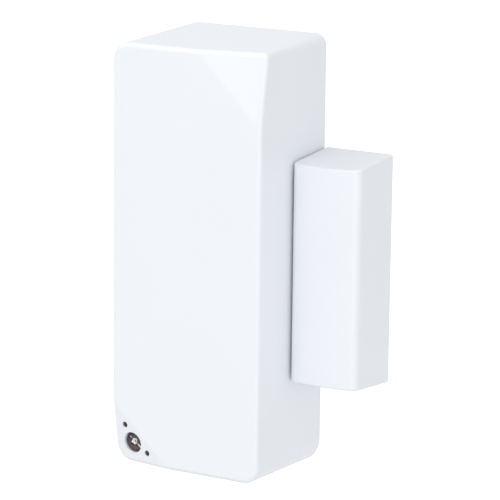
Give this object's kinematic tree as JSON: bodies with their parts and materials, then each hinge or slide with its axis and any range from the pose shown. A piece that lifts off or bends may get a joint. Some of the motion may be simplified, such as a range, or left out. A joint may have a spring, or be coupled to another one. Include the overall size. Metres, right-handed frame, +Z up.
{
  "type": "door contact sensor",
  "caption": "Wireless door contact: a tall white case with two faceted corners and a screwed cover, and an arched magnet unit beside it.",
  "frame": {"origin": "middle of the sensor's back face, on the wall plane", "axes": "+Z up, +Y into the wall so that the fronts face -Y, and +X from the sensor to the magnet unit"},
  "size_m": [0.0507, 0.026, 0.09],
  "materials": {
    "shell_white": "satin",
    "base_white": "fine matt",
    "screw_steel": "nickel plated",
    "board_green": "solder mask",
    "cell_wrap": "printed film, plain",
    "cradle_black": "fine matt",
    "contact_nickel": "bright nickel",
    "reed_glass": "clear, faintly green",
    "reed_metal": "tinned",
    "radio_blue": "solder mask",
    "shield_tin": "tin plate",
    "antenna_copper": "enamelled wire",
    "chip_black": "moulded epoxy",
    "leg_tin": "tinned",
    "can_metal": "drawn can",
    "ceramic_parts": "ceramic",
    "led_red": "clear lens",
    "switch_metal": "stamped",
    "button_yellow": "moulded",
    "switch_black": "moulded",
    "jumper_blue": "moulded",
    "magnet_grey": "sintered",
    "pad_foam": "open-cell foam"
  },
  "bodies": {
    "sensor_base": {"base_plate": "base_white", "circuit_board": "board_green", "board_screws": "screw_steel", "battery_cell": "cell_wrap", "battery_cradle": "cradle_black", "positive_contact": "contact_nickel", "negative_plate": "contact_nickel", "negative_spring": "contact_nickel", "reed_glass": "reed_glass", "reed_leads": "reed_metal", "radio_board": "radio_blue", "radio_shield": "shield_tin", "antenna_coil": "antenna_copper", "controller_chip": "chip_black", "controller_legs": "leg_tin", "crystal_can": "can_metal", "storage_capacitor": "can_metal", "surface_parts": "ceramic_parts", "status_led": "led_red", "learn_switch": "switch_metal", "tamper_switch": "switch_black", "option_header": "switch_black", "option_jumper": "jumper_blue"},
    "cover": {"front_cover": "shell_white"},
    "washer": {"screw_washer": "screw_steel"},
    "screw": {"lid_screw": "screw_steel"},
    "learn": {"learn_button": "button_yellow"},
    "tamper": {"tamper_plunger": "switch_black"},
    "magnet": {"magnet_base": "base_white", "bar_magnet": "magnet_grey", "magnet_pad": "pad_foam"},
    "magnet_shell": {"magnet_cover": "shell_white"}
  },
  "joints": [
    {"name": "cover_lift", "type": "slide", "parent": "sensor_base", "child": "cover", "axis": [0, -1, 0], "range_m": [0, 0.04]},
    {"name": "screw_back_out", "type": "slide", "parent": "cover", "child": "washer", "axis": [0, -1, 0], "range_m": [0, 0.0072]},
    {"name": "screw_turn", "type": "hinge", "parent": "washer", "child": "screw", "pos_m": [-0.0126, -0.02295, -0.0392], "axis": [0, -1, 0], "range_deg": [0, 3240]},
    {"name": "learn_press", "type": "slide", "parent": "sensor_base", "child": "learn", "axis": [0, 1, 0], "range_m": [0, 0.0003], "stiffness_N_per_m": 1500},
    {"name": "tamper_press", "type": "slide", "parent": "sensor_base", "child": "tamper", "axis": [0, 1, 0], "range_m": [0, 0.0008], "stiffness_N_per_m": 600},
    {"name": "magnet_travel", "type": "slide", "parent": "sensor_base", "child": "magnet", "axis": [1, 0, 0], "range_m": [0, 0.04]},
    {"name": "magnet_cover_lift", "type": "slide", "parent": "magnet", "child": "magnet_shell", "axis": [0, -1, 0], "range_m": [0, 0.025]}
  ],
  "couplings": [
    {"joint": "screw_turn", "follows": "screw_back_out", "rad_per_m": 7854}
  ]
}
